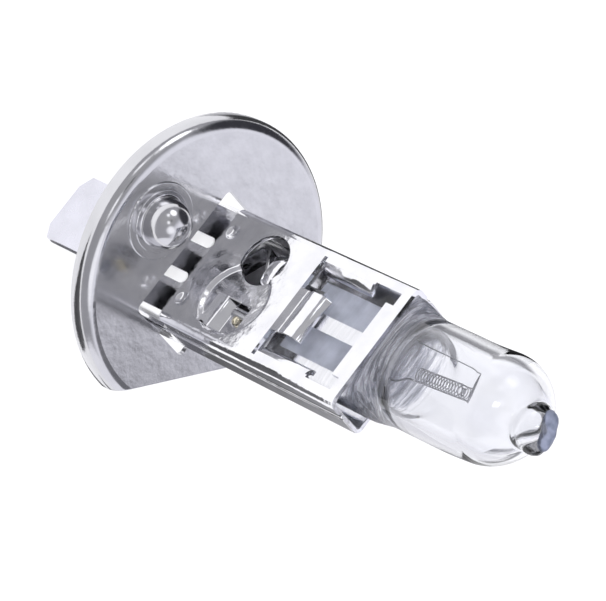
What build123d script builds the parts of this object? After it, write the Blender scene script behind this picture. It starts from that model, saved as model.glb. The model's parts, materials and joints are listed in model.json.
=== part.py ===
from build123d import *
import os

os.makedirs("parts", exist_ok=True)

# Headlight bulb, millimetres. Origin: lamp axis on the flange's front face.
# +Z runs along the bulb to its tip, -Y is the broad front of the holder.

# flange
flange_r = 12.28
flange_flat = 8.81
flange_flat_edge_r = 0.12
flange_flat_angle = 45
flange_height = 1.73
flange_roll_r = 1.08
flange_t = 0.45
opening_w = 12.0
opening_d = 6.85
opening_y = -0.1
boss_x = 0.35
boss_y = -7.25
boss_r = 2.0
boss_straight = 0.75
boss_pad_r = 3.15
boss_pad_h = 0.15
boss_ring_r = 2.55
boss_ring_h = 0.1
boss_root_fillet = 0.2
lip_w = 11.0
lip_t = 0.35
lip_drop = 2.3
side_lip_y0 = -3.0
side_lip_y1 = 1.7
tongue_w = 2.2
tongue_pitch = 5.2
tongue_drop = 3.2

# sheet-metal holder, made of a front and a rear channel
holder_x = 0.5
holder_w = 11.17
holder_front_y = -2.43
holder_seam_y = -0.75
holder_rear_y = 2.1
holder_t = 0.4
holder_corner_r = 0.7
holder_root_z = -4.2
holder_end_z = 21.5
holder_depth = holder_rear_y - holder_front_y
holder_mid_y = (holder_rear_y + holder_front_y) / 2
seam_chamfer = 0.12
seam_gap = 0.22
seam_groove_y = -0.3
seam_groove_w = 0.14
seam_groove_depth = 0.12

# openings in the front channel, x measured from the holder's centre line
notch_top_z = 1.2
notch_w = 1.0
notch_pitch = 3.46
corner_notch_from = 4.87
round_hole_x = -2.4
round_hole_z = 6.8
round_hole_r = 2.2
emboss_x = 1.5
emboss_z = 6.75
emboss_r = 3.2
emboss_depth = 0.3
emboss_round = 0.2
clamp_window_x = 2.82
clamp_window_z = 6.65
clamp_window_w = 2.9
clamp_window_h = 3.9
dimple_z = 2.1
dimple_r = 0.62
dimple_depth = 0.26
dimple_edge = 0.12
pinch_window_w = 7.0
pinch_window_z0 = 12.1
pinch_window_z1 = 19.8
slit_w = 9.4
slit_h = 0.35
corner_relief_w = 0.9
corner_relief_z0 = 17.8
corner_relief_z1 = 20.6
flap_z0 = 12.4
flap_z1 = 17.6
flap_bend_r = 0.86
flap_root_x = 4.3
rear_window_w = 6.6
rear_window_z0 = 13.0
rear_window_z1 = 19.4

# glass
tube_r = 4.4
tube_z0 = 24.4
dome_r = 4.1
dome_z = 32.6
wall = 1.1
pinch_x = 0.1
pinch_w = 9.4
pinch_t = 2.9
pinch_y = -0.1
pinch_z0 = 10.0
pinch_z1 = 21.4
cavity_z0 = 22.9
cavity_z1 = 25.2
neck_r = 1.85
neck_z = 36.95
tip_rx = 1.5
tip_ry = 1.05
tip_z1 = 38.6
coat_t = 0.12

# filament and leads
coil_z0 = 24.4
coil_z1 = 29.05
coil_r = 0.6
coil_wire_r = 0.085
coil_turns = 25
lead_r = 0.14
foil_w = 2.4
foil_t = 0.06
foil_z0 = 12.0
foil_z1 = 18.6
live_foil_x = -1.7
earth_foil_x = 2.0
lead_lap = 1.5
weld_depth = 0.05
short_lead_x = 1.1
long_lead_x = -2.1
long_lead_top = 28.45
outer_lead_r = 0.32
outer_lead_top = 12.8
live_lead_z0 = 6.7
earth_lead_z0 = 6.6
earth_end_x = 2.7

# straps and clips
strap_w = 1.6
strap_t = 0.3
strap_loop_x = -3.9
strap_ear_z0 = 6.6
strap_ear_h = 1.1
clamp_t = 0.3
clamp_w = 4.0
clamp_leaf_y = -0.9
clip_t = 0.25
clip_x0 = -1.3
clip_x1 = 2.7
earth_braze_r = 0.45
live_braze_r = 0.28

# insulator and terminal
ceramic_top_z = 0.9
ceramic_bottom_z = -7.2
blade_w = 6.3
blade_t = 0.8
blade_end_z = -17.95
blade_root_z = -2.6
blade_tail_w = 2.4
blade_tail_top_z = 3.4
blade_chamfer_x = 1.1
blade_chamfer_z = 0.7
rivet_r = 0.75
rivet_z = -5.75
rivet_head_r = 1.3
rivet_head_h = 0.35

front_plane = Plane.XZ.offset(-holder_front_y)
pinch_front_y = pinch_y - pinch_t / 2


def rolled_cap(radius, flat, top, bottom, roll):
    """Disc with a rolled upper edge and one side cut off flat, as a helper solid."""
    with BuildPart() as cap:
        with BuildSketch(Plane.XY.offset(bottom)):
            Circle(radius)
        extrude(amount=top - bottom)
        fillet(cap.edges().group_by(Axis.Z)[-1], roll)
        with BuildSketch(Plane.XY.offset(bottom)):
            with Locations(Rotation(0, 0, flange_flat_angle) * Pos(flat + radius, 0)):
                Rectangle(2 * radius, 4 * radius)
        extrude(amount=top - bottom, mode=Mode.SUBTRACT)
    return cap.part


def boss_profile(radius, base, straight):
    """Revolved straight-sided dome, as a helper solid."""
    with BuildPart() as dome:
        with BuildSketch(Plane.XZ):
            with BuildLine():
                Line((0, base), (radius, base))
                Line((radius, base), (radius, straight))
                RadiusArc((radius, straight), (0, straight + radius), -radius)
                Line((0, straight + radius), (0, base))
            make_face()
        revolve(axis=Axis.Z)
    return dome.part


def wire(points, radius, bend):
    """Round wire along straight runs joined by tangent arcs."""
    with BuildPart() as run:
        with BuildLine() as path:
            FilletPolyline(*points, radius=bend)
        with BuildSketch(path.line ^ 0):
            Circle(radius)
        sweep()
    return run.part


# flange plate with its locating boss, opening and two fixing tongues
cap_inner = rolled_cap(flange_r - flange_t, flange_flat - flange_t, -flange_t, -flange_height - 1,
                       flange_roll_r - flange_t)
cap_outer = rolled_cap(flange_r, flange_flat, 0, -flange_height, flange_roll_r)
boss_outer = boss_profile(boss_r, -flange_t, boss_straight)
boss_inner = boss_profile(boss_r - flange_t, -flange_t - 0.5, boss_straight)

with BuildPart() as flange_plate:
    add(cap_outer)
    flat_edge = flange_plate.edges().filter_by(GeomType.LINE).group_by(Axis.Z)[-1]
    fillet(flat_edge, flange_flat_edge_r)
    add(cap_inner, mode=Mode.SUBTRACT)
    with BuildSketch():
        with Locations((boss_x, boss_y)):
            Circle(boss_pad_r)
    extrude(amount=boss_pad_h)
    pad_edge = flange_plate.edges().filter_by(GeomType.CIRCLE).filter_by_position(
        Axis.Z, boss_pad_h - 0.01, boss_pad_h + 0.01)
    fillet(pad_edge, 0.1)
    with BuildSketch(Plane.XY.offset(boss_pad_h)):
        with Locations((boss_x, boss_y)):
            Circle(boss_ring_r)
    extrude(amount=boss_ring_h)
    ring_edge = flange_plate.edges().filter_by(GeomType.CIRCLE).filter_by_position(
        Axis.Z, boss_pad_h + boss_ring_h - 0.01, boss_pad_h + boss_ring_h + 0.01)
    fillet(ring_edge, 0.06)
    add(Pos(boss_x, boss_y) * boss_outer)
    boss_root = flange_plate.edges().filter_by(GeomType.CIRCLE).filter_by_position(
        Axis.Z, boss_pad_h + boss_ring_h - 0.01, boss_pad_h + boss_ring_h + 0.01).sort_by(SortBy.RADIUS)[0]
    fillet(boss_root, boss_root_fillet)
    add(Pos(boss_x, boss_y) * boss_inner, mode=Mode.SUBTRACT)
    with BuildSketch(Plane.XY.offset(1)):
        with Locations((holder_x, opening_y)):
            RectangleRounded(opening_w, opening_d, 0.5)
    extrude(amount=-3, mode=Mode.SUBTRACT)
    with Locations((holder_x - tongue_pitch / 2, holder_rear_y), (holder_x + tongue_pitch / 2, holder_rear_y)):
        Box(tongue_w, 1.6, flange_t, align=(Align.CENTER, Align.MIN, Align.MAX))
        Box(tongue_w, flange_t, tongue_drop, align=(Align.CENTER, Align.MIN, Align.MAX))
    with Locations((holder_x, opening_y - opening_d / 2, 0)):
        Box(lip_w, lip_t, lip_drop, align=(Align.CENTER, Align.MAX, Align.MAX))
    with Locations((holder_x, holder_front_y, -lip_drop)):
        Box(lip_w, opening_d / 2 - opening_y + holder_front_y + lip_t, lip_t,
            align=(Align.CENTER, Align.MAX, Align.MIN))
    opening_side_x = holder_x + opening_w / 2
    with Locations((opening_side_x, side_lip_y0, 0)):
        Box(lip_t, side_lip_y1 - side_lip_y0, lip_drop, align=(Align.MIN, Align.MIN, Align.MAX))
    with Locations((holder_x + holder_w / 2, side_lip_y0, -lip_drop)):
        Box(opening_side_x + lip_t - holder_x - holder_w / 2, side_lip_y1 - side_lip_y0, lip_t,
            align=(Align.MIN, Align.MIN, Align.MIN))
flange_plate.part.label = "flange_plate"
export_step(flange_plate.part, "parts/flange_plate.step")

# front channel of the holder
emboss_inner_y = holder_front_y + emboss_depth + holder_t
with BuildPart() as front_holder_plate:
    with BuildSketch(Plane.XY.offset(holder_root_z)):
        with Locations((holder_x, holder_mid_y)):
            RectangleRounded(holder_w, holder_depth, holder_corner_r)
            RectangleRounded(holder_w - 2 * holder_t, holder_depth - 2 * holder_t,
                             holder_corner_r - holder_t, mode=Mode.SUBTRACT)
        with Locations((holder_x, holder_seam_y - seam_gap / 2)):
            Rectangle(2 * holder_w, holder_depth, align=(Align.CENTER, Align.MIN), mode=Mode.SUBTRACT)
    extrude(amount=holder_end_z - holder_root_z)
    seam_edges = front_holder_plate.edges().filter_by(Axis.Z).group_by(Axis.Y)[-1].sort_by(Axis.X)
    chamfer([seam_edges[0], seam_edges[-1]], seam_chamfer)
    with BuildSketch(front_plane.offset(-holder_t)):
        with Locations((holder_x + emboss_x, emboss_z)):
            Circle(emboss_r)
    extrude(amount=-emboss_depth)
    with BuildSketch(front_plane):
        with Locations((holder_x + emboss_x, emboss_z)):
            Circle(emboss_r)
    extrude(amount=-emboss_depth, taper=45, mode=Mode.SUBTRACT)
    emboss_edges = front_holder_plate.edges().filter_by(GeomType.CIRCLE).group_by(SortBy.RADIUS)
    fillet([edge for edge in emboss_edges[-1] + emboss_edges[-2] if edge.center().Y < emboss_inner_y - 0.2],
           emboss_round)
    dimple_sphere_r = (dimple_r ** 2 + dimple_depth ** 2) / (2 * dimple_depth)
    dimple_at_y = holder_front_y + dimple_depth - dimple_sphere_r
    with Locations((holder_x - 3.3, dimple_at_y, dimple_z), (holder_x + 3.3, dimple_at_y, dimple_z)):
        Sphere(dimple_sphere_r, mode=Mode.SUBTRACT)
    round_edges = front_holder_plate.edges().filter_by(GeomType.CIRCLE)
    fillet([edge for edge in round_edges if abs(edge.arc_center.Z - dimple_z) < 0.01], dimple_edge)
    with BuildSketch(front_plane.offset(0.5)):
        with Locations((holder_x + round_hole_x, round_hole_z)):
            Circle(round_hole_r)
        with Locations((holder_x + clamp_window_x, clamp_window_z)):
            Rectangle(clamp_window_w, clamp_window_h)
        with Locations((holder_x, pinch_window_z0)):
            Rectangle(pinch_window_w, pinch_window_z1 - pinch_window_z0, align=(Align.CENTER, Align.MIN))
            Rectangle(slit_w, slit_h, align=(Align.CENTER, Align.MAX))
            Rectangle(2 * flap_root_x, corner_relief_z0 - pinch_window_z0, align=(Align.CENTER, Align.MIN))
        for side in (-1, 1):
            with Locations((holder_x + side * (pinch_window_w + corner_relief_w) / 2, corner_relief_z0)):
                Rectangle(corner_relief_w + 0.2, corner_relief_z1 - corner_relief_z0,
                          align=(Align.CENTER, Align.MIN))
            with Locations((holder_x + side * notch_pitch / 2, notch_top_z - notch_w / 2)):
                Circle(notch_w / 2)
                Rectangle(notch_w, 10, align=(Align.CENTER, Align.MAX))
            with Locations((holder_x + side * (corner_notch_from + 1), notch_top_z)):
                Rectangle(2, 10, align=(Align.CENTER, Align.MAX))
    extrude(amount=-1.7, mode=Mode.SUBTRACT)
    flap_mid_y = holder_front_y + holder_t / 2
    flap_mid_x = flap_root_x + 0.1 - flap_bend_r + holder_t / 2
    for side in (-1, 1):
        with BuildSketch(Plane.XY.offset(flap_z0)):
            with BuildLine():
                FilletPolyline((holder_x + side * (flap_root_x + 0.2), flap_mid_y),
                               (holder_x + side * flap_mid_x, flap_mid_y),
                               (holder_x + side * flap_mid_x, pinch_front_y - 0.02),
                               radius=flap_bend_r - holder_t / 2)
            trace(line_width=holder_t)
        extrude(amount=flap_z1 - flap_z0)
front_holder_plate.part.label = "front_holder_plate"
export_step(front_holder_plate.part, "parts/front_holder_plate.step")

# rear channel of the holder
with BuildPart() as rear_holder_plate:
    with BuildSketch(Plane.XY.offset(holder_root_z)):
        with Locations((holder_x, holder_mid_y)):
            RectangleRounded(holder_w, holder_depth, holder_corner_r)
            RectangleRounded(holder_w - 2 * holder_t, holder_depth - 2 * holder_t,
                             holder_corner_r - holder_t, mode=Mode.SUBTRACT)
        with Locations((holder_x, holder_seam_y + seam_gap / 2)):
            Rectangle(2 * holder_w, holder_depth, align=(Align.CENTER, Align.MAX), mode=Mode.SUBTRACT)
        with Locations((holder_x - holder_w / 2, seam_groove_y), (holder_x + holder_w / 2, seam_groove_y)):
            Rectangle(2 * seam_groove_depth, seam_groove_w, mode=Mode.SUBTRACT)
    extrude(amount=holder_end_z - holder_root_z)
    seam_edges = rear_holder_plate.edges().filter_by(Axis.Z).group_by(Axis.Y)[0].sort_by(Axis.X)
    chamfer([seam_edges[0], seam_edges[-1]], seam_chamfer)
    with BuildSketch(Plane.XZ.offset(-holder_rear_y - 1)):
        with Locations((holder_x, rear_window_z0)):
            Rectangle(rear_window_w, rear_window_z1 - rear_window_z0, align=(Align.CENTER, Align.MIN))
    extrude(amount=2, mode=Mode.SUBTRACT)
rear_holder_plate.part.label = "rear_holder_plate"
export_step(rear_holder_plate.part, "parts/rear_holder_plate.step")

# blade terminal, a flat tab whose tail passes up through the insulator
with BuildPart() as blade_terminal:
    with BuildSketch(Plane.XZ.offset(-blade_t / 2)):
        with BuildLine():
            Polyline((holder_x - blade_w / 2, blade_root_z),
                     (holder_x - blade_w / 2, blade_end_z + blade_chamfer_z),
                     (holder_x - blade_w / 2 + blade_chamfer_x, blade_end_z),
                     (holder_x + blade_w / 2 - blade_chamfer_x, blade_end_z),
                     (holder_x + blade_w / 2, blade_end_z + blade_chamfer_z),
                     (holder_x + blade_w / 2, blade_root_z),
                     (holder_x + blade_tail_w / 2, blade_root_z),
                     (holder_x + blade_tail_w / 2, blade_tail_top_z),
                     (holder_x - blade_tail_w / 2, blade_tail_top_z),
                     (holder_x - blade_tail_w / 2, blade_root_z),
                     close=True)
        make_face()
        with Locations((holder_x, rivet_z)):
            Circle(rivet_r, mode=Mode.SUBTRACT)
    extrude(amount=blade_t)
blade_terminal.part.label = "blade_terminal"
export_step(blade_terminal.part, "parts/blade_terminal.step")

# ceramic insulator, its shoulder under the holder's lower ends
with BuildPart() as ceramic_insulator:
    with BuildSketch(Plane.XY.offset(holder_root_z)):
        with Locations((holder_x, holder_mid_y)):
            RectangleRounded(holder_w - 2 * holder_t, holder_depth - 2 * holder_t, holder_corner_r - holder_t)
    extrude(amount=ceramic_top_z - holder_root_z)
    with BuildSketch(Plane.XY.offset(ceramic_bottom_z)):
        with Locations((holder_x, holder_mid_y)):
            RectangleRounded(holder_w, holder_depth, holder_corner_r)
    extrude(amount=holder_root_z - ceramic_bottom_z)
    chamfer(ceramic_insulator.edges().group_by(Axis.Z)[-1], 0.2)
    chamfer(ceramic_insulator.edges().group_by(Axis.Z)[0], 0.3)
    add(blade_terminal.part, mode=Mode.SUBTRACT)
    with Locations((holder_x, holder_mid_y, rivet_z)):
        Cylinder(rivet_r, 10, rotation=(90, 0, 0), mode=Mode.SUBTRACT)
ceramic_insulator.part.label = "ceramic_insulator"
export_step(ceramic_insulator.part, "parts/ceramic_insulator.step")

# rivet that holds the blade in the insulator
with BuildPart() as terminal_rivet:
    with Locations((holder_x, holder_mid_y, rivet_z)):
        Cylinder(rivet_r, holder_depth, rotation=(90, 0, 0))
    with Locations((holder_x, holder_front_y, rivet_z), (holder_x, holder_rear_y + rivet_head_h, rivet_z)):
        Cylinder(rivet_head_r, rivet_head_h, rotation=(90, 0, 0), align=(Align.CENTER, Align.CENTER, Align.MIN))
terminal_rivet.part.label = "terminal_rivet"
export_step(terminal_rivet.part, "parts/terminal_rivet.step")

# filament coil, its turns standing as rings on a fine tube
coil_pitch = (coil_z1 - coil_z0) / coil_turns
with BuildPart() as filament_coil:
    with BuildSketch(Plane.XZ):
        with Locations((coil_r - coil_wire_r, (coil_z0 + coil_z1) / 2)):
            Rectangle(2 * coil_wire_r * 0.6, coil_z1 - coil_z0)
        for turn in range(coil_turns):
            with Locations((coil_r - coil_wire_r, coil_z0 + (turn + 0.5) * coil_pitch)):
                Circle(coil_wire_r)
    revolve(axis=Axis.Z)
filament_coil.part.label = "filament_coil"
export_step(filament_coil.part, "parts/filament_coil.step")

# foils sealed in the pinch
with BuildPart() as live_foil:
    with Locations((live_foil_x, pinch_y, foil_z0)):
        Box(foil_w, foil_t, foil_z1 - foil_z0, align=(Align.CENTER, Align.CENTER, Align.MIN))
live_foil.part.label = "live_foil"
export_step(live_foil.part, "parts/live_foil.step")

with BuildPart() as earth_foil:
    with Locations((earth_foil_x, pinch_y, foil_z0)):
        Box(foil_w, foil_t, foil_z1 - foil_z0, align=(Align.CENTER, Align.CENTER, Align.MIN))
earth_foil.part.label = "earth_foil"
export_step(earth_foil.part, "parts/earth_foil.step")

# inner leads, welded to the foils and to the coil's two ends
inner_lead_y = pinch_y + foil_t / 2 + lead_r - weld_depth
coil_top = coil_z1 - coil_pitch / 2 + coil_wire_r
coil_bottom = coil_z0 + coil_pitch / 2 - coil_wire_r
with BuildPart() as short_inner_lead:
    add(wire([(short_lead_x, inner_lead_y, foil_z1 - lead_lap),
              (short_lead_x, inner_lead_y, 23.5),
              (coil_r - coil_wire_r, inner_lead_y, 23.95),
              (coil_r - coil_wire_r, inner_lead_y, coil_bottom)], lead_r, 0.25))
    add(earth_foil.part, mode=Mode.SUBTRACT)
short_inner_lead.part.label = "short_inner_lead"
export_step(short_inner_lead.part, "parts/short_inner_lead.step")

with BuildPart() as long_inner_lead:
    add(wire([(long_lead_x, inner_lead_y, foil_z1 - lead_lap),
              (long_lead_x, inner_lead_y, long_lead_top),
              (long_lead_x + 1.15, inner_lead_y, coil_top + lead_r),
              (coil_r, inner_lead_y, coil_top + lead_r)], lead_r, 0.4))
    add(live_foil.part, mode=Mode.SUBTRACT)
long_inner_lead.part.label = "long_inner_lead"
export_step(long_inner_lead.part, "parts/long_inner_lead.step")

# outer leads, from the foils out of the pinch's lower end
outer_lead_y = pinch_y - foil_t / 2 - outer_lead_r + weld_depth
with BuildPart() as live_outer_lead:
    with BuildSketch(Plane.XY.offset(live_lead_z0)):
        with Locations((live_foil_x, outer_lead_y)):
            Circle(outer_lead_r)
    extrude(amount=outer_lead_top - live_lead_z0)
    add(live_foil.part, mode=Mode.SUBTRACT)
live_outer_lead.part.label = "live_outer_lead"
export_step(live_outer_lead.part, "parts/live_outer_lead.step")

clamp_face_y = clamp_leaf_y - clamp_t / 2
with BuildPart() as earth_outer_lead:
    add(wire([(earth_foil_x, outer_lead_y, outer_lead_top),
              (earth_foil_x, outer_lead_y, 9.8),
              (earth_end_x, clamp_face_y - outer_lead_r, 8.7),
              (earth_end_x, clamp_face_y - outer_lead_r, earth_lead_z0)], outer_lead_r, 0.6))
    add(earth_foil.part, mode=Mode.SUBTRACT)
earth_outer_lead.part.label = "earth_outer_lead"
export_step(earth_outer_lead.part, "parts/earth_outer_lead.step")

# strap from the terminal's tail to the live outer lead, looped to take up movement
strap_foot_x = holder_x - blade_tail_w / 2 - strap_t / 2
strap_lead_x = live_foil_x + outer_lead_r + strap_t / 2
with BuildPart() as live_contact_strap:
    with BuildSketch(Plane.XZ.offset(-strap_w / 2)):
        with BuildLine():
            FilletPolyline((strap_foot_x, ceramic_top_z + 0.3), (strap_foot_x, 2.6), (strap_loop_x, 4.5),
                           (strap_lead_x, 6.2), (strap_lead_x, 9.2), radius=0.6)
        trace(line_width=strap_t)
    extrude(amount=strap_w)
    with BuildSketch(Plane.XY.offset(strap_ear_z0)):
        with BuildLine():
            ThreePointArc((-0.25, -1.05), (-1.7, -1.4), (-3.2, -0.95))
        trace(line_width=strap_t)
        with Locations((strap_lead_x, -strap_w / 2 + 0.1)):
            Rectangle(strap_t, 0.7, align=(Align.CENTER, Align.MAX))
    extrude(amount=strap_ear_h)
live_contact_strap.part.label = "live_contact_strap"
export_step(live_contact_strap.part, "parts/live_contact_strap.step")

# clamp leaf behind the front window, carrying the earth outer lead
with BuildPart() as earth_lead_clamp:
    with BuildSketch(Plane.YZ.offset(holder_x + clamp_window_x - clamp_w / 2)):
        with BuildLine():
            FilletPolyline((emboss_inner_y + clamp_t / 2, 4.0), (emboss_inner_y + clamp_t / 2, 5.4),
                           (clamp_leaf_y, 6.1), (clamp_leaf_y, 8.2), radius=0.3)
        trace(line_width=clamp_t)
    extrude(amount=clamp_w)
earth_lead_clamp.part.label = "earth_lead_clamp"
export_step(earth_lead_clamp.part, "parts/earth_lead_clamp.step")

# braze beads at the two outer leads
with BuildPart() as earth_lead_braze:
    with Locations((earth_end_x + earth_braze_r, clamp_face_y - 0.2, 7.3)):
        Sphere(earth_braze_r)
    with Locations((earth_end_x + earth_braze_r, clamp_face_y, 7.3)):
        Box(2, 2, 2, align=(Align.CENTER, Align.MIN, Align.CENTER), mode=Mode.SUBTRACT)
    add(earth_outer_lead.part, mode=Mode.SUBTRACT)
earth_lead_braze.part.label = "earth_lead_braze"
export_step(earth_lead_braze.part, "parts/earth_lead_braze.step")

with BuildPart() as live_lead_braze:
    with Locations((strap_lead_x - strap_t / 2, outer_lead_y - outer_lead_r, 8.2)):
        Sphere(live_braze_r)
    add(live_outer_lead.part, mode=Mode.SUBTRACT)
    add(live_contact_strap.part, mode=Mode.SUBTRACT)
live_lead_braze.part.label = "live_lead_braze"
export_step(live_lead_braze.part, "parts/live_lead_braze.step")

# spring clip between the front channel and the pinch, its lip in the window
with BuildPart() as pinch_clip:
    with BuildSketch(Plane.YZ.offset(clip_x0)):
        with BuildLine():
            FilletPolyline((holder_front_y + holder_t + clip_t / 2, 10.6),
                           (holder_front_y + holder_t + clip_t / 2, 12.5),
                           (holder_front_y + 0.15, 13.0),
                           (holder_front_y + 0.15, 14.05),
                           (pinch_front_y - clip_t / 2, 14.62), radius=0.7)
        trace(line_width=clip_t)
    extrude(amount=clip_x1 - clip_x0)
pinch_clip.part.label = "pinch_clip"
export_step(pinch_clip.part, "parts/pinch_clip.step")

# glass envelope: flat pinch, shoulder, tapering tube, dome and tipped-off stem
dome_neck_z = dome_z + (dome_r ** 2 - neck_r ** 2) ** 0.5
cavity_rise = cavity_z1 - cavity_z0
cavity_floor_r = (cavity_rise ** 2 + (tube_r - wall) ** 2) / (2 * cavity_rise)
with BuildPart() as glass_envelope:
    with BuildSketch(Plane.XY.offset(pinch_z0)):
        with Locations((pinch_x, pinch_y)):
            RectangleRounded(pinch_w, pinch_t, 0.6)
    extrude(amount=pinch_z1 - pinch_z0)
    with BuildSketch(Plane.XY.offset(pinch_z1)):
        with Locations((pinch_x, pinch_y)):
            RectangleRounded(pinch_w, pinch_t, 0.6)
    with BuildSketch(Plane.XY.offset(tube_z0)):
        Circle(tube_r)
    loft()
    with BuildSketch(Plane.YZ):
        with BuildLine():
            Polyline((0, tube_z0), (tube_r, tube_z0), (dome_r, dome_z))
            RadiusArc((dome_r, dome_z), (neck_r, dome_neck_z), -dome_r)
            Polyline((neck_r, dome_neck_z), (neck_r, neck_z - 0.3), (neck_r - 0.3, neck_z), (0, neck_z),
                     (0, tube_z0))
        make_face()
    revolve(axis=Axis.Z)
    with BuildSketch(Plane.XY.offset(neck_z - 0.2)):
        Ellipse(tip_rx - coat_t, tip_ry - coat_t)
    extrude(amount=tip_z1 - coat_t - neck_z + 0.2)
    fillet(glass_envelope.edges().group_by(Axis.Z)[-1], 0.4)
    with BuildSketch(Plane.YZ):
        with BuildLine():
            Line((0, cavity_z0), (0, dome_z + dome_r - wall))
            RadiusArc((0, dome_z + dome_r - wall), (dome_r - wall, dome_z), dome_r - wall)
            Line((dome_r - wall, dome_z), (tube_r - wall, cavity_z1))
            RadiusArc((tube_r - wall, cavity_z1), (0, cavity_z0), cavity_floor_r)
        make_face()
    revolve(axis=Axis.Z, mode=Mode.SUBTRACT)
    for sealed in (live_foil, earth_foil, short_inner_lead, long_inner_lead, live_outer_lead,
                   earth_outer_lead):
        add(sealed.part, mode=Mode.SUBTRACT)
glass_envelope.part.label = "glass_envelope"
export_step(glass_envelope.part, "parts/glass_envelope.step")

# dark coating on the tipped-off stem
with BuildPart() as tip_coating:
    with BuildSketch(Plane.XY.offset(neck_z)):
        Ellipse(tip_rx, tip_ry)
    extrude(amount=tip_z1 - neck_z)
    fillet(tip_coating.edges().group_by(Axis.Z)[-1], 0.45)
    add(glass_envelope.part, mode=Mode.SUBTRACT)
tip_coating.part.label = "tip_coating"
export_step(tip_coating.part, "parts/tip_coating.step")

for built in (flange_plate, front_holder_plate, rear_holder_plate, blade_terminal, ceramic_insulator,
              terminal_rivet, filament_coil, live_foil, earth_foil, short_inner_lead, long_inner_lead,
              live_outer_lead, earth_outer_lead, live_contact_strap, earth_lead_clamp, earth_lead_braze,
              live_lead_braze, pinch_clip, glass_envelope, tip_coating):
    box = built.part.bounding_box()
    print(built.part.label, round(built.part.volume, 3), len(built.part.solids()), built.part.is_valid,
          [round(v, 2) for v in (*box.min, *box.max)])
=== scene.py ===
import bpy
import json
import math
import random
from mathutils import Matrix, Vector


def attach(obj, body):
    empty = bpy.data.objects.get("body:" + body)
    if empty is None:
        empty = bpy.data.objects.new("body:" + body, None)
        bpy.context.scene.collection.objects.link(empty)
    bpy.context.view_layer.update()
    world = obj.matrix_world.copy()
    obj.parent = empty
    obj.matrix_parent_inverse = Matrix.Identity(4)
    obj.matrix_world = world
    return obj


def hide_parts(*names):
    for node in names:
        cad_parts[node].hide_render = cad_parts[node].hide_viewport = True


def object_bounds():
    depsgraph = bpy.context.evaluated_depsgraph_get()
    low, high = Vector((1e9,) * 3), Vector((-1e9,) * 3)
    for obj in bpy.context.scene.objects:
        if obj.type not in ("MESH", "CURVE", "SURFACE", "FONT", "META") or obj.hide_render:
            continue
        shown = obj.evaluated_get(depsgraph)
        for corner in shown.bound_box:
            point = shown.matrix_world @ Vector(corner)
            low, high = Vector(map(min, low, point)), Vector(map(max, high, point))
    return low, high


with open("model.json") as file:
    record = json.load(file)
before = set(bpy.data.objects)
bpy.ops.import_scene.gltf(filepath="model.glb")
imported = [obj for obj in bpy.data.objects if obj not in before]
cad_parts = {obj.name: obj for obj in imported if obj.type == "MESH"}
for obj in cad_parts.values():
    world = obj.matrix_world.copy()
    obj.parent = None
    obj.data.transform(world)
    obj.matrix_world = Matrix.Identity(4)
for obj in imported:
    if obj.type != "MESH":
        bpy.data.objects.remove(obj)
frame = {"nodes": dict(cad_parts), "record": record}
cad_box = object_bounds()
MM = 0.001
NODES = frame["nodes"]
SLOT_OF = {part["node"]: part["material_slot"] for part in frame["record"]["subparts"]}

# ---------------------------------------------------------------- camera
CAMERA_AT = (0.0551156, -0.1848251, 0.1962353)
CAMERA_RIGHT = (-0.594044, 0.473667, 0.650193)
CAMERA_UP = (-0.776727, -0.548035, -0.310407)
CAMERA_BACK = (0.209299, -0.689418, 0.693467)
CAMERA_LENS = 208.82
SENSOR_WIDTH = 36

cam_data = bpy.data.cameras.new("photo_camera")
cam_data.lens = CAMERA_LENS
cam_data.sensor_width = SENSOR_WIDTH
cam_data.clip_start = 0.01
cam_data.clip_end = 20
cam_data.dof.use_dof = False
camera = bpy.data.objects.new("photo_camera", cam_data)
bpy.context.scene.collection.objects.link(camera)
camera.matrix_world = Matrix.Translation(CAMERA_AT) @ Matrix(
    (CAMERA_RIGHT, CAMERA_UP, CAMERA_BACK)).transposed().to_4x4()
bpy.context.scene.camera = camera
bpy.context.scene.view_settings.view_transform = "Standard"


# ---------------------------------------------------------------- materials
def add_node(tree, kind, inputs=None, **props):
    """A new node; each input is given as a socket to link from, or as a plain value."""
    made = tree.nodes.new(kind)
    for key, value in props.items():
        setattr(made, key, value)
    for key, value in (inputs or {}).items():
        if isinstance(value, bpy.types.NodeSocket):
            tree.links.new(value, made.inputs[key])
        else:
            made.inputs[key].default_value = value
    return made


def laid_over(tree, below, above, mask):
    """The colour above laid over the colour below, as far as the mask goes."""
    return add_node(tree, "ShaderNodeMix", {"Factor": mask, 6: below, 7: above}, data_type="RGBA").outputs[2]


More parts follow.
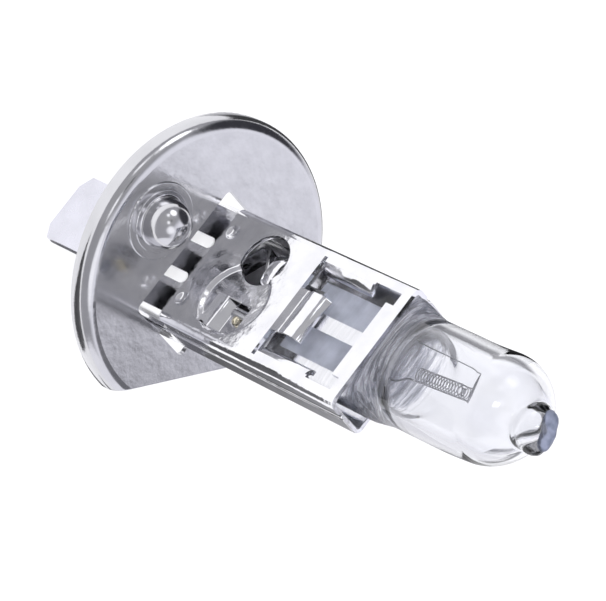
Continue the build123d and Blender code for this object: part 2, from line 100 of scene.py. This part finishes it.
class Shader:
    """A small builder for node materials round one Principled shader."""

    def __init__(self, name):
        self.mat = bpy.data.materials.new(name)
        self.mat.use_nodes = True
        self.tree = self.mat.node_tree
        self.bsdf = self.tree.nodes["Principled BSDF"]
        self.place = add_node(self.tree, "ShaderNodeTexCoord").outputs["Object"]

    def put(self, **values):
        """Sets plain values; an underscore stands for a space in the socket's name."""
        for key, value in values.items():
            self.bsdf.inputs[key.replace("_", " ")].default_value = value

    def link(self, output, name):
        self.tree.links.new(output, self.bsdf.inputs[name])

    def node(self, kind, inputs=None, **props):
        return add_node(self.tree, kind, inputs, **props)

    def calc(self, operation, *values):
        return self.node("ShaderNodeMath", dict(enumerate(values)), operation=operation).outputs["Value"]

    def axis(self, name):
        return self.node("ShaderNodeSeparateXYZ", {"Vector": self.place}).outputs[name]

    def along(self, direction):
        return self.node("ShaderNodeVectorMath", {0: self.place, 1: direction},
                         operation="DOT_PRODUCT").outputs["Value"]

    def noise(self, scale, detail=3.0, stretch=(1, 1, 1), rough=0.5):
        """Noise of that many cells to a metre, finer along an axis whose stretch is larger."""
        stretched = self.node("ShaderNodeMapping", {"Vector": self.place, "Scale": stretch}).outputs["Vector"]
        return self.node("ShaderNodeTexNoise", {"Vector": stretched, "Scale": scale, "Detail": detail,
                                                "Roughness": rough}).outputs["Fac"]

    def remap(self, value, low, high, out_low, out_high):
        return self.node("ShaderNodeMapRange", {"Value": value, "From Min": low, "From Max": high,
                                                "To Min": out_low, "To Max": out_high}).outputs["Result"]

    def ramp(self, value, stops):
        """A colour ramp through (position, colour) stops."""
        made = self.node("ShaderNodeValToRGB", {"Fac": value})
        ramp = made.color_ramp
        while len(ramp.elements) < len(stops):
            ramp.elements.new(0.5)
        for element, (at, colour) in zip(ramp.elements, stops):
            element.position = at
            element.color = (*colour, 1)
        return made.outputs["Color"]

    def bump(self, layers):
        """Bumps in series; each layer is (height output, strength, depth in metres)."""
        normal = None
        for height, strength, depth in layers:
            made = self.node("ShaderNodeBump", {"Height": height, "Strength": strength, "Distance": depth})
            if normal is not None:
                self.tree.links.new(normal, made.inputs["Normal"])
            normal = made.outputs["Normal"]
        self.link(normal, "Normal")


MATERIALS = {}


def plated(name, light, dark, rough, wave, grain, metallic=1.0):
    """Bright plated metal: faint clouding, fine pits and a slow waviness in its mirror."""
    s = Shader(name)
    s.put(Metallic=metallic)
    s.link(s.ramp(s.noise(420, 4), [(0.3, dark), (0.62, light)]), "Base Color")
    s.link(s.remap(s.noise(900, 5), 0.3, 0.75, *rough), "Roughness")
    s.bump([(s.noise(110, 2), wave, 0.0004), (s.noise(520, 3), wave, 0.00011),
            (s.noise(2600, 3), grain, 0.000022)])
    MATERIALS[name] = s.mat


plated("flange_steel", (0.66, 0.66, 0.68), (0.61, 0.61, 0.63), (0.10, 0.20), wave=0.16, grain=0.2)
plated("holder_steel", (0.89, 0.89, 0.91), (0.78, 0.78, 0.81), (0.06, 0.18), wave=0.55, grain=0.25)
plated("terminal_metal", (0.76, 0.76, 0.83), (0.70, 0.70, 0.76), (0.22, 0.34), wave=0.1, grain=0.2)
plated("lead_metal", (0.70, 0.70, 0.72), (0.55, 0.55, 0.57), (0.22, 0.4), wave=0.1, grain=0.3)
plated("foil", (0.68, 0.71, 0.82), (0.40, 0.43, 0.52), (0.3, 0.5), wave=0.8, grain=0.5, metallic=0.3)
plated("tungsten", (0.40, 0.40, 0.43), (0.26, 0.26, 0.28), (0.3, 0.45), wave=0.1, grain=0.3, metallic=0.7)
plated("braze", (0.84, 0.79, 0.64), (0.70, 0.64, 0.48), (0.15, 0.35), wave=0.5, grain=0.5)

# fired white ceramic, finely grained
ceramic = Shader("ceramic")
ceramic.put(IOR=1.55)
ceramic.link(ceramic.ramp(ceramic.noise(600, 5), [(0.3, (0.88, 0.88, 0.89)), (0.7, (0.95, 0.95, 0.96))]),
             "Base Color")
ceramic.link(ceramic.remap(ceramic.noise(1500, 4), 0.3, 0.7, 0.38, 0.6), "Roughness")
ceramic.bump([(ceramic.noise(3500, 4), 0.35, 0.00002)])
MATERIALS["ceramic"] = ceramic.mat

# clear glass, grey and finely streaked across the shoulder where it was pressed, faintly so in the pinch
QUARTZ_IOR = 1.458
PRESSED_TOP = (23.8 * MM, 24.3 * MM)
PRESSED_LOW = (20.4 * MM, 21.4 * MM)
PINCH_STREAKS = 0.12
glass = Shader("clear_glass")
glass.put(IOR=QUARTZ_IOR, Transmission_Weight=1.0)
tilted_height = glass.calc("MULTIPLY_ADD", glass.axis("Y"), 0.25, glass.axis("Z"))
pressed = glass.calc("MULTIPLY", glass.remap(tilted_height, *PRESSED_TOP, 1.0, 0.0),
                     glass.remap(tilted_height, *PRESSED_LOW, PINCH_STREAKS, 1.0))
streaks = glass.noise(3600, 4, (0.05, 0.4, 1), 0.6)
fine_grain = glass.noise(9000, 3, (0.5, 1, 1), 0.7)
streak_tint = glass.ramp(streaks, [(0.40, (0.10, 0.105, 0.13)), (0.5, (0.40, 0.41, 0.48)),
                                   (0.6, (0.93, 0.93, 0.96))])
tube_tint = glass.ramp(glass.noise(300, 2), [(0.3, (0.90, 0.905, 0.935)), (0.7, (0.93, 0.934, 0.952))])
glass.link(laid_over(glass.tree, tube_tint, streak_tint, pressed), "Base Color")
tube_rough = glass.remap(glass.noise(800, 3), 0.35, 0.8, 0.0, 0.03)
glass.link(glass.calc("MULTIPLY_ADD", pressed, 0.1, tube_rough), "Roughness")
streak_height = glass.calc("MULTIPLY", glass.calc("ADD", streaks, fine_grain), pressed)
glass.bump([(glass.noise(160, 2), 0.06, 0.0002), (streak_height, 0.7, 0.0001)])
MATERIALS["clear_glass"] = glass.mat

# dull grey-blue coat
tip = Shader("tip_paint")
tip.link(tip.ramp(tip.noise(1800, 5), [(0.3, (0.09, 0.105, 0.15)), (0.7, (0.19, 0.205, 0.28))]), "Base Color")
tip.link(tip.remap(tip.noise(2500, 4), 0.3, 0.7, 0.3, 0.55), "Roughness")
tip.bump([(tip.noise(1200, 4), 0.5, 0.0001)])
MATERIALS["tip_paint"] = tip.mat

# ---------------------------------------------------------------- CAD nodes
SHEET_EDGE, BLOCK_EDGE = 0.06 * MM, 0.08 * MM
EDGES = {"flange_plate": SHEET_EDGE, "front_holder_plate": SHEET_EDGE, "rear_holder_plate": SHEET_EDGE,
         "pinch_clip": SHEET_EDGE, "earth_lead_clamp": SHEET_EDGE, "live_contact_strap": SHEET_EDGE,
         "blade_terminal": BLOCK_EDGE, "ceramic_insulator": BLOCK_EDGE, "terminal_rivet": BLOCK_EDGE}
EDGE_ANGLE = math.radians(35)

for node, obj in NODES.items():
    obj.data.materials.clear()
    obj.data.materials.append(MATERIALS[SLOT_OF[node]])
    weld = obj.modifiers.new("weld", "WELD")
    weld.merge_threshold = 0.001 * MM
    if node in EDGES:
        edge = obj.modifiers.new("edge", "BEVEL")
        edge.width = EDGES[node]
        edge.segments = 2
        edge.limit_method = "ANGLE"
        edge.angle_limit = EDGE_ANGLE
        edge.harden_normals = False


# ---------------------------------------------------------------- pieces built here, in millimetres
def mesh_object(name, verts, faces):
    mesh = bpy.data.meshes.new(name)
    mesh.from_pydata([Vector(v) * MM for v in verts], [], faces)
    obj = bpy.data.objects.new(name, mesh)
    bpy.context.scene.collection.objects.link(obj)
    return obj


def piece(name, verts, faces, slot, node):
    """A smooth mesh piece that stands for a CAD node, riding on the lamp's one body."""
    obj = mesh_object(name, verts, faces)
    obj.data.validate()
    for poly in obj.data.polygons:
        poly.use_smooth = True
    obj.data.materials.append(MATERIALS[slot])
    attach(obj, "root")
    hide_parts(node)


def skin(rings, first_index=0, inward=False):
    """Points and faces of a closed skin through rings of equal count, with a point at each end."""
    count = len(rings[0])
    verts = [v for ring in rings for v in ring]
    low, high = len(verts), len(verts) + 1
    verts += [[sum(c) / count for c in zip(*ring)] for ring in (rings[0], rings[-1])]
    last = (len(rings) - 1) * count
    faces = []
    for r in range(len(rings) - 1):
        for i in range(count):
            j = (i + 1) % count
            faces.append((r * count + i, r * count + j, (r + 1) * count + j, (r + 1) * count + i))
    for i in range(count):
        j = (i + 1) % count
        faces.append((low, j, i))
        faces.append((high, last + i, last + j))
    if inward:
        faces = [tuple(reversed(face)) for face in faces]
    return verts, [tuple(first_index + k for k in face) for face in faces]


def section(z, half_x, half_y, power=2, cx=0.0, cy=0.0, count=96):
    """One ring of a rounded section: power 2 is an ellipse, and more is squarer."""
    ring = []
    for k in range(count):
        t = 2 * math.pi * k / count
        c, s = math.cos(t), math.sin(t)
        ring.append((cx + half_x * math.copysign(abs(c) ** (2 / power), c),
                     cy + half_y * math.copysign(abs(s) ** (2 / power), s), z))
    return ring


def blend(a, b, t):
    return a + (b - a) * t


def ease(t):
    t = min(max(t, 0.0), 1.0)
    return t * t * (3 - 2 * t)


# glass envelope: pinch, ribbed shoulder, straight tube, dome and neck, with its hollow as an inner skin
PINCH_X, PINCH_Y, PINCH_A, PINCH_B, PINCH_POWER = -0.02, -0.1, 4.86, 1.5, 7
PINCH_Z, SHOULDER_Z, TUBE_Z = 10.0, 20.6, 25.0
TUBE_R, DOME_R, DOME_Z, DOME_H, WALL, NECK_R = 4.36, 4.34, 32.5, 4.1, 0.8, 1.85
LEAN_LOW, LEAN_TOP, LEAN_Z, LEAN_RUN = 0.2, -0.2, 29.5, 7.5
RIB_PITCH, RIB_HEIGHT, RIB_COUNT = 0.12, 0.045, 64
DOME_STEP = math.radians(3.0)
EGG = 0.05
COAT_SLOPE = 0.38
# z, half x, half y and middle x of each ring
NECK_RINGS = ((36.32, 2.0, 1.98, -0.06), (36.42, 1.9, 1.84, 0.0), (36.56, 1.86, 1.76, 0.06),
              (36.8, 1.88, 1.70, 0.14), (37.05, 1.88, 1.56, 0.2), (37.3, 1.82, 1.30, 0.22),
              (37.55, 1.68, 0.98, 0.22), (37.8, 1.45, 0.68, 0.18), (38.05, 1.15, 0.46, 0.1),
              (38.25, 0.8, 0.3, 0.05), (38.34, 0.4, 0.16, 0.0))
random.seed(11)
ribs = [random.uniform(-1, 1) for _ in range(RIB_COUNT)]


def lean(z):
    """Where the tube's middle is: the glass stands a little askew in its holder."""
    return blend(LEAN_LOW, LEAN_TOP, ease((z - LEAN_Z) / LEAN_RUN))


def outer_ring(z):
    if z <= SHOULDER_Z:
        end = min(1.0, 0.94 + (z - PINCH_Z) * 0.15)
        return section(z, PINCH_A * end, PINCH_B * (1 - (1 - end) * 3), PINCH_POWER, PINCH_X, PINCH_Y)
    if z < TUBE_Z:
        up = z - SHOULDER_Z
        t = ease(up / (TUBE_Z - SHOULDER_Z))
        rib = RIB_HEIGHT * ribs[int(up / RIB_PITCH) % RIB_COUNT] * (1 - t) * ease(up / 0.5)
        return section(z, blend(PINCH_A, TUBE_R, t) + rib, blend(PINCH_B, TUBE_R, t ** 0.75) + rib,
                       blend(PINCH_POWER, 2, t ** 0.4), blend(PINCH_X, LEAN_LOW, t), PINCH_Y * (1 - t))
    r = blend(TUBE_R, DOME_R, ease((z - 28.0) / (DOME_Z - 28.0)))
    return section(z, r, r, cx=lean(z))


rings = [section(PINCH_Z, 4.2, 1.1, PINCH_POWER, PINCH_X, PINCH_Y),
         section(PINCH_Z + 0.06, 4.5, 1.32, PINCH_POWER, PINCH_X, PINCH_Y)]
rings += [outer_ring(PINCH_Z + 0.2 + 0.6 * k) for k in range(18)]
rings += [outer_ring(SHOULDER_Z + 0.04 + RIB_PITCH * k) for k in range(37)]
rings += [outer_ring(TUBE_Z + 0.3 + 0.7 * k) for k in range(11)]
for k in range(1, 31):
    a = DOME_STEP * k
    r, z = DOME_R * math.cos(a) ** 0.97, DOME_Z + DOME_H * math.sin(a)
    if r < NECK_R + 0.3:
        break
    egg = 1 - EGG * math.sin(a) ** 2
    rings.append([(lean(z) + x * (egg if x > 0 else 1), y, z) for x, y, z in section(z, r, r)])
for z, rx, ry, cx in NECK_RINGS:
    tilt = COAT_SLOPE * ease(z - 36.7)
    ring = section(z, rx, ry, 2, cx + 0.02 * math.sin(9 * z), 0.02 * math.cos(7 * z))
    rings.append([(x, y, z + tilt * x) for x, y, z in ring])
glass_verts, glass_faces = skin(rings)

HOLLOW_Z, HOLLOW_A, HOLLOW_B, HOLLOW_RISE, FUNNEL_X = 22.75, 1.9, 0.25, 2.8, 0.12
# z and radius of each ring of the funnel that the hollow ends in
FUNNEL_RINGS = ((35.62, 1.38), (35.8, 1.3), (36.1, 1.25), (36.5, 1.2), (36.9, 1.08), (37.2, 0.88),
                (37.45, 0.6), (37.6, 0.3))


def inner_ring(z):
    rise = ease((z - HOLLOW_Z) / HOLLOW_RISE)
    full = blend(TUBE_R - WALL, DOME_R - WALL, ease((z - 25.2) / 7))
    return section(z, blend(HOLLOW_A, full, rise ** 0.6), blend(HOLLOW_B, full, rise ** 0.8), 2,
                   blend(0.1, lean(z), rise), blend(-0.1, 0, rise))


hollow = [section(HOLLOW_Z - 0.03, 0.9, 0.1, 2, 0.1, -0.1)]
hollow += [inner_ring(HOLLOW_Z + 0.03 + 0.12 * k) for k in range(25)]
hollow += [inner_ring(25.9 + 0.67 * k) for k in range(10)]
for k in range(29):
    a = DOME_STEP * k
    r, z = (DOME_R - WALL) * math.cos(a), DOME_Z + (DOME_H - WALL) * math.sin(a)
    if r < 1.5:
        break
    hollow.append(section(z, r, r, cx=lean(z)))
for z, r in FUNNEL_RINGS:
    hollow.append(section(z, r, r * min(1.0, 1.0 - (z - 36.5) * 0.4), cx=FUNNEL_X))
hollow_verts, hollow_faces = skin(hollow, len(glass_verts), True)
piece("glass_body", glass_verts + hollow_verts, glass_faces + hollow_faces, "clear_glass", "glass_envelope")

# dull coat on the tipped-off stem, lumpy as dipped; z, half x and half y of each ring
COAT_RINGS = ((37.5, 0.9, 0.3), (37.44, 1.2, 0.5), (37.5, 1.36, 0.62), (37.66, 1.45, 0.66),
              (37.84, 1.42, 0.64), (38.0, 1.34, 0.6), (38.16, 1.26, 0.56), (38.32, 1.12, 0.48),
              (38.44, 0.9, 0.38), (38.52, 0.56, 0.25), (38.56, 0.22, 0.1))
COAT_POINTS, LUMP_COUNT, LUMP_HEIGHT = 64, 6, 0.085
random.seed(5)
lumps = []
for _ in range(LUMP_COUNT):
    lumps.append((random.uniform(0, 6.28), random.uniform(0.5, 1.0), random.choice((2, 3, 5))))
    random.uniform(0, 6.28)  # drawn and left, so that the next lump keeps its numbers
coat = []
for z, rx, ry in COAT_RINGS:
    ring = []
    for k, (x, y, _) in enumerate(section(z, rx, ry, 2.2, count=COAT_POINTS)):
        t = 2 * math.pi * k / COAT_POINTS
        swell = 1 + LUMP_HEIGHT * sum(size * math.sin(waves * t + turn + 2.2 * z)
                                      for turn, size, waves in lumps)
        waist = 1 - 0.3 * math.exp(-((x - 0.25) / 0.35) ** 2) * (1 if y > 0 else 0.4)
        ring.append((x * swell, y * swell * waist, z + COAT_SLOPE * x + 0.05 * math.sin(3 * t + 4 * z)))
    coat.append(ring)
piece("tip_coat", *skin(coat), "tip_paint", "tip_coating")


def tube(points, radii, count):
    """Round wire along points close together, with a radius at each."""
    pts = [Vector(p) for p in points]
    side = (pts[1] - pts[0]).normalized().orthogonal().normalized()
    rings = []
    for i, (p, r) in enumerate(zip(pts, radii)):
        along = (pts[min(i + 1, len(pts) - 1)] - pts[max(i - 1, 0)]).normalized()
        side = (side - along * side.dot(along)).normalized()
        up = along.cross(side)
        turns = [2 * math.pi * k / count for k in range(count)]
        rings.append([tuple(p + side * (r * math.cos(t)) + up * (r * math.sin(t))) for t in turns])
    return skin(rings)


def rounded(points, bend, steps):
    """Corner points turned into a path with arcs of about that bend."""
    pts = [Vector(p) for p in points]
    out = [pts[0]]
    for a, b, c in zip(pts, pts[1:], pts[2:]):
        into = b + (a - b).normalized() * min(bend, (a - b).length * 0.45)
        away = b + (c - b).normalized() * min(bend, (c - b).length * 0.45)
        for k in range(steps + 1):
            t = k / steps
            out.append(into * (1 - t) ** 2 + b * (2 * t * (1 - t)) + away * t ** 2)
    out.append(pts[-1])
    return out


# filament: a fine helix, a little out of upright, with a straight tail at each end
COIL_R, COIL_WIRE_R, TURNS, TURN_POINTS = 0.54, 0.042, 17, 20
COIL_LOW, COIL_HIGH, COIL_X = 24.9, 29.6, 0.34
LOW_TAIL_X = COIL_X + COIL_R
helix = [(LOW_TAIL_X, -0.02, COIL_LOW - 0.45), (LOW_TAIL_X, -0.01, COIL_LOW - 0.2)]
for k in range(TURNS * TURN_POINTS + 1):
    t = 2 * math.pi * k / TURN_POINTS
    z = blend(COIL_LOW, COIL_HIGH, k / (TURNS * TURN_POINTS))
    middle = blend(COIL_X, 0.0, (z - COIL_LOW) / (COIL_HIGH - COIL_LOW))
    helix.append((middle + COIL_R * math.cos(t), COIL_R * math.sin(t), z))
helix += [(COIL_R, 0.01, COIL_HIGH + 0.12), (COIL_R, 0.02, COIL_HIGH + 0.3)]
piece("filament", *tube(helix, [COIL_WIRE_R] * len(helix), 7), "tungsten", "filament_coil")

# inner leads: thin wires, the long one with a thicker straight arm to the coil's far end
LEAD_Y, SHORT_LEAD_R, LONG_LEAD_R, ARM_POINTS = 0.02, 0.075, 0.05, 7
short_lead = rounded([(1.1, LEAD_Y, 17.2), (1.5, LEAD_Y, 21.2), (1.55, LEAD_Y, 23.4),
                      (LOW_TAIL_X, LEAD_Y, 24.3), (LOW_TAIL_X, LEAD_Y, 24.9)], 0.35, 6)
piece("short_lead", *tube(short_lead, [SHORT_LEAD_R] * len(short_lead), 8), "tungsten", "short_inner_lead")
long_lead = rounded([(-2.1, LEAD_Y, 17.2), (-1.98, LEAD_Y, 24.3), (-2.02, LEAD_Y, 29.12),
                     (COIL_R + 0.1, LEAD_Y, 29.98)], 0.14, 8)
long_radii = [LONG_LEAD_R] * (len(long_lead) - 2) + [0.064]
arm_start, arm_end = long_lead[-2:]
long_lead.pop()
for k in range(1, ARM_POINTS + 1):
    long_lead.append(arm_start.lerp(arm_end, k / (ARM_POINTS + 1)))
    long_radii.append(0.06 + 0.055 * math.sin(math.pi * k / (ARM_POINTS + 2)))
long_lead.append(arm_end)
long_radii.append(LONG_LEAD_R)
piece("long_lead", *tube(long_lead, long_radii, 8), "tungsten", "long_inner_lead")

# ---------------------------------------------------------------- sky
world = bpy.data.worlds.new("studio")
world.use_nodes = True
bpy.context.scene.world = world
sky_tree = world.node_tree
sky_tree.nodes.clear()
view_direction = add_node(sky_tree, "ShaderNodeTexCoord").outputs["Generated"]


def toward(direction, near, far):
    """1 inside the near angle from a direction, 0 beyond the far angle, in degrees."""
    middle = Vector(direction).normalized()
    cosine = add_node(sky_tree, "ShaderNodeVectorMath", {0: view_direction, 1: middle},
                      operation="DOT_PRODUCT").outputs["Value"]
    return add_node(sky_tree, "ShaderNodeMapRange", {"Value": cosine, "From Min": math.cos(math.radians(far)),
                                                     "From Max": math.cos(math.radians(near))},
                    interpolation_type="SMOOTHSTEP").outputs["Result"]


SKY = (0.42, 0.42, 0.45)
# soft patches laid over the sky in turn: direction, near and far angle, colour
PATCHES = (
    ((-0.15, 0.72, 0.68), 34, 62, (1.05, 1.05, 1.14)),
    ((0.12, 0.68, 0.72), 12.5, 20.5, (0.20, 0.20, 0.22)),
    ((0.75, 0.62, 0.20), 27, 33, (1.05, 1.05, 1.12)),
    ((-0.1, -0.75, 0.66), 16, 42, (0.46, 0.46, 0.48)),
    ((0.04, -0.60, 0.80), 3, 9, (1.5, 1.5, 1.55)),
    ((-0.40, -0.78, 0.48), 3, 9, (1.5, 1.5, 1.55)),
    ((-0.20, -0.52, 0.83), 2, 6, (0.1, 0.1, 0.1)),
    ((-0.85, 0.30, 0.44), 21, 33, (0.05, 0.05, 0.06)),
    ((-0.73, -0.50, 0.46), 9, 15, (2.2, 2.2, 2.25)),
    ((0.35, -0.1, 0.93), 10, 22, (1.3, 1.3, 1.36)),
    ((0, 0, -1), 88, 91, (1.02, 1.02, 1.06)))
sky = (*SKY, 1)
for direction, near, far, colour in PATCHES:
    sky = laid_over(sky_tree, sky, (*colour, 1), toward(direction, near, far))
background = add_node(sky_tree, "ShaderNodeBackground", {"Color": sky, "Strength": 1.0})
add_node(sky_tree, "ShaderNodeOutputWorld", {"Surface": background.outputs["Background"]})

# soft light from the camera's side
SOFTBOX_ENERGY, SOFTBOX_SIZE = 2.4, 0.09
SOFTBOX_AT, SOFTBOX_AIM = Vector((0.06, -0.28, 0.34)), Vector((0, 0, 0.01))
front = bpy.data.lights.new("front_softbox", "AREA")
front.energy = SOFTBOX_ENERGY
front.size = SOFTBOX_SIZE
front_obj = bpy.data.objects.new("front_softbox", front)
bpy.context.scene.collection.objects.link(front_obj)
front_obj.location = SOFTBOX_AT
front_obj.rotation_mode = "QUATERNION"
front_obj.rotation_quaternion = (SOFTBOX_AIM - SOFTBOX_AT).to_track_quat("-Z", "Y")
front_obj.visible_glossy = False

# ---------------------------------------------------------------- floor, and the sheets that lie on it
FLOOR_Z = cad_box[0].z / MM - 0.05
CARD_Z, FAN_Z = FLOOR_Z + 0.2, FLOOR_Z + 0.3
FLOOR_HALF = 3000


def staged_sheet(name, corners, shader, unseen_by=()):
    """A flat sheet of the studio, which is no part of the lamp, unseen by some kinds of ray."""
    obj = mesh_object(name, corners, [(0, 1, 2, 3)])
    obj.data.materials.append(shader.mat)
    for ray in unseen_by:
        setattr(obj, "visible_" + ray, False)


def glowing(name, colour, strength=1.0):
    """A shader that shows one even colour of its own, with no gloss."""
    s = Shader(name)
    s.put(Base_Color=(0, 0, 0, 1), Roughness=1.0, Specular_IOR_Level=0.0, Emission_Color=(*colour, 1),
          Emission_Strength=strength)
    return s


def card(name, x, y, near, far, axis, start, end):
    """A flat card of painted floor shadow, seen only in reflections; its grey runs from near to far along one
    axis.
    """
    s = glowing(name, (0, 0, 0))
    s.link(s.ramp(s.remap(s.axis(axis), start * MM, end * MM, 0.0, 1.0),
                  [(0.0, (near, near, near * 1.05)), (1.0, (far, far, far * 1.05))]), "Emission Color")
    corners = [(x[0], y[0], CARD_Z), (x[1], y[0], CARD_Z), (x[1], y[1], CARD_Z), (x[0], y[1], CARD_Z)]
    staged_sheet(name, corners, s, ("camera", "diffuse", "transmission", "volume_scatter", "shadow"))


def fan(name, forward, inner, outer, stops, grey):
    """A dark fan seen only through the glass; its stops give its depth by slope from forward."""
    ahead = Vector((*forward, 0)).normalized()
    across = Vector((-ahead.y, ahead.x, 0))
    low, high = stops[0][0], stops[-1][0]
    corners = [Vector((0, 0, FAN_Z)) + (ahead + across * slope) * reach
               for reach, slope in ((inner, low), (outer, low), (outer, high), (inner, high))]
    s = glowing(name, (grey, grey, grey * 1.1))
    slope = s.calc("DIVIDE", s.along(across), s.along(ahead))
    s.link(s.ramp(s.remap(slope, low, high, 0.0, 1.0),
                  [((at - low) / (high - low), (depth, depth, depth)) for at, depth in stops]), "Alpha")
    staged_sheet(name, corners, s, ("camera", "diffuse", "glossy", "volume_scatter", "shadow"))


floor_shader = glowing("pale_floor", (0.98, 0.98, 1.0), 0.93)
floor_shader.put(Base_Color=(0.15, 0.15, 0.15, 1), Roughness=0.9)
staged_sheet("studio_floor", [(x * FLOOR_HALF, y * FLOOR_HALF, FLOOR_Z)
                              for x, y in ((-1, -1), (1, -1), (1, 1), (-1, 1))], floor_shader)

# painted shadow of the floor round the lamp and beside the blade tab, as dark cards seen only in reflections
card("rear_floor_painted_shadow", (-4, 45), (21, 75), 0.12, 0.5, "Y", 24, 55)
card("right_floor_painted_shadow", (22, 90), (-45, 5), 0.08, 0.16, "X", 20, 60)
card("left_floor_painted_shadow", (-400, -19), (-4, 60), 0.06, 0.6, "X", -30, -21)
card("tab_side_painted_shadow", (3.8, 16), (0.6, 18), 0.12, 0.2, "X", 4, 16)

fan("streak_fan", (-1, 0), 43, 300, [(-0.72, 0.0), (-0.42, 0.9), (-0.12, 0.9), (0.05, 0.0)], 0.22)
fan("crescent_fan", (0, 1), 72, 700, [(-0.26, 0.0), (-0.2, 0.95), (0.0, 0.95), (0.05, 0.0)], 0.15)
fan("lower_side_fan", (0.68, 0.73), 38, 300, [(-0.7, 0.0), (-0.3, 0.5), (0.4, 0.5), (0.8, 0.0)], 0.6)
